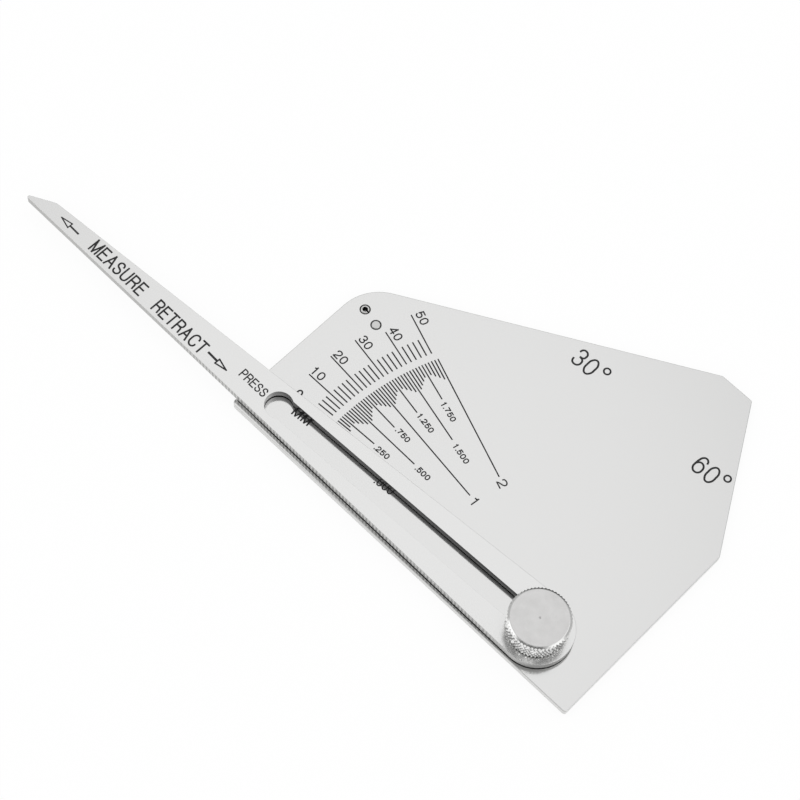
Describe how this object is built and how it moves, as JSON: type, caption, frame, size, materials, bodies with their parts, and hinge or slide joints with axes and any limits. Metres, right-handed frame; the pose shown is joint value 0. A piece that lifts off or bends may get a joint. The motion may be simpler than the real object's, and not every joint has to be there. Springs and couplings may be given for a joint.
{
  "type": "fillet weld gauge",
  "caption": "Flat steel weld gauge: a plate with angled edges and a pointed arm that swings across its scales, slides on a keyhole slot and is clamped by a knurled knob.",
  "frame": {"origin": "the pivot axis, on the plate's back face", "axes": "+X along the base edge away from the arm's point, +Y from the base into the plate, +Z out of the marked face"},
  "size_m": [0.1288, 0.0634, 0.0076],
  "materials": {
    "plate_steel": "satin stainless sheet",
    "arm_steel": "satin stainless sheet",
    "knob_steel": "turned top, bright diamond knurl",
    "stud_steel": "plain",
    "bush_steel": "turned",
    "washer_steel": "plain",
    "spring_pin_steel": "dull",
    "dowel_steel": "ground"
  },
  "bodies": {
    "gauge": {"gauge_plate": "plate_steel", "pivot_stud": "stud_steel", "spring_pin": "spring_pin_steel", "dowel_pin": "dowel_steel"},
    "bush": {"pivot_bush": "bush_steel"},
    "arm": {"pointer_arm": "arm_steel"},
    "washer": {"clamp_washer": "washer_steel"},
    "knob": {"knob": "knob_steel"}
  },
  "joints": [
    {"name": "arm_swing", "type": "hinge", "parent": "gauge", "child": "bush", "pos_m": [0, 0, 0], "axis": [0, 0, -1], "range_deg": [-0.5, 25.5]},
    {"name": "arm_slide", "type": "slide", "parent": "bush", "child": "arm", "axis": [0.9994, 0.035, 0], "range_m": [0, 0.05715]},
    {"name": "washer_lift", "type": "slide", "parent": "gauge", "child": "washer", "axis": [0, 0, 1], "range_m": [0, 0.001]},
    {"name": "knob_turn", "type": "hinge", "parent": "washer", "child": "knob", "pos_m": [0, 0, 0.0055], "axis": [0, 0, 1], "range_deg": [0, 720]}
  ],
  "couplings": [
    {"joint": "knob_turn", "follows": "washer_lift", "rad_per_m": 12566}
  ]
}
